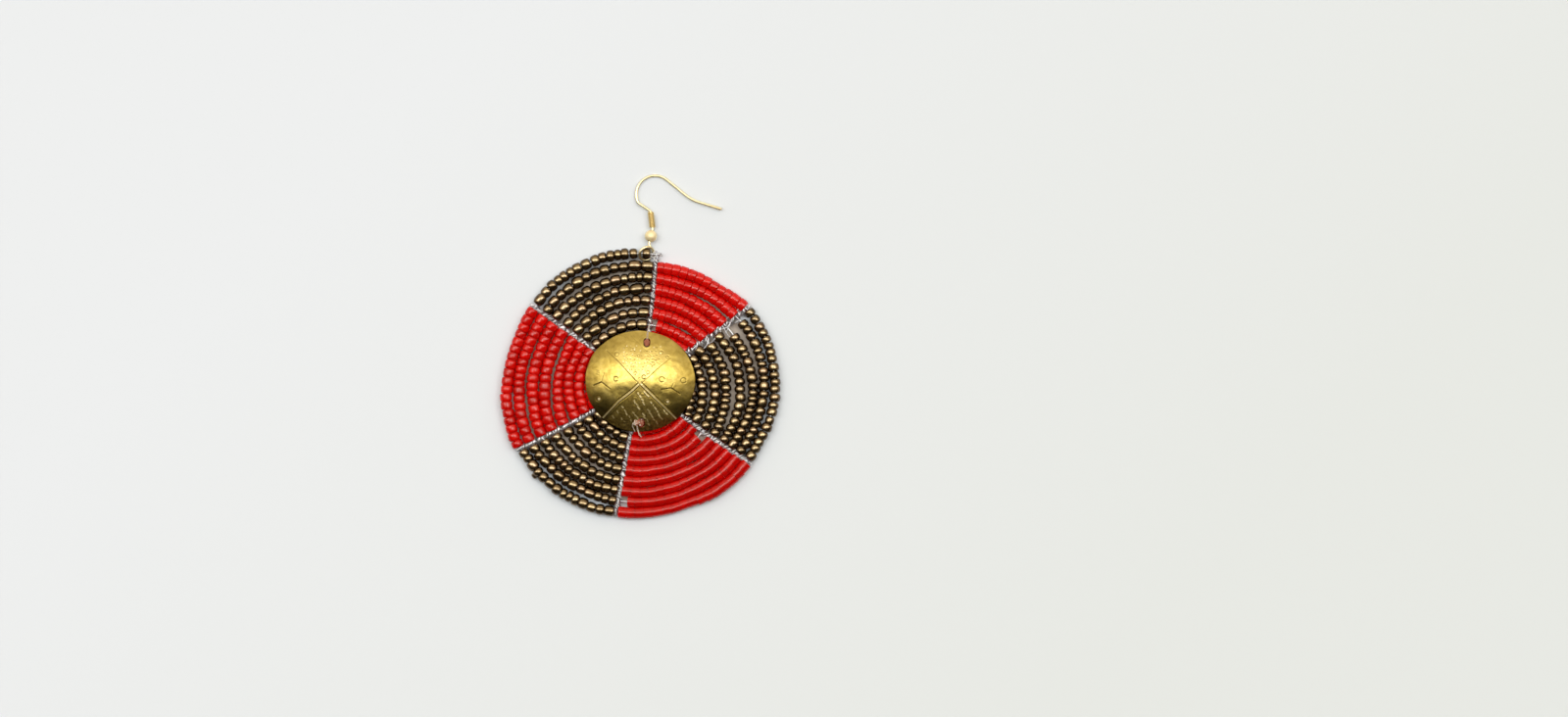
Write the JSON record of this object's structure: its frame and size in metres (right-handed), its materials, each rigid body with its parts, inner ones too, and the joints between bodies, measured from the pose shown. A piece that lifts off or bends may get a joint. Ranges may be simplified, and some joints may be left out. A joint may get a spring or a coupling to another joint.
{
  "type": "beaded statement earring (round beaded disc on an ear wire)",
  "caption": "Round beaded statement earring lying face up: spiral strands of red and bronze seed beads on wire spokes, a domed brass centre, and an ear wire with ball and coil.",
  "frame": {"origin": "middle of the bottom of the whole earring's box, on the surface that it lies on", "axes": "+Z out of the earring's front face, +Y up the earring towards the ear wire's bend, +X to the right as seen from the front"},
  "size_m": [0.0708, 0.0876, 0.0074],
  "materials": {
    "red_beads": "glossy, slightly see-through red glass, closed to the light by the alpha of 1",
    "bronze_beads": "glass with a dark metallic bronze coat, polished",
    "silver_wire": "fine bright wire, slightly dulled",
    "antiqued_brass": "polished brass with punched ornament, dark tarnish in the low places and along the lower rim",
    "pale_gold_wire": "bright pale gold plate",
    "pale_gold_coil": "bright pale gold plate, close wound",
    "satin_gold_ball": "satin pale gold plate",
    "thread": "fine waxed sewing thread, beige; used by the visual model's stitches only"
  },
  "bodies": {
    "root": {"red_beads_upper": "red_beads", "bronze_beads_right": "bronze_beads", "red_beads_lower": "red_beads", "bronze_beads_lower": "bronze_beads", "red_beads_left": "red_beads", "bronze_beads_upper": "bronze_beads", "core_wire": "silver_wire", "spoke_wires": "silver_wire", "brass_dome": "antiqued_brass", "ear_hook": "pale_gold_wire", "hook_coil": "pale_gold_coil", "hook_ball": "satin_gold_ball"}
  },
  "joints": []
}
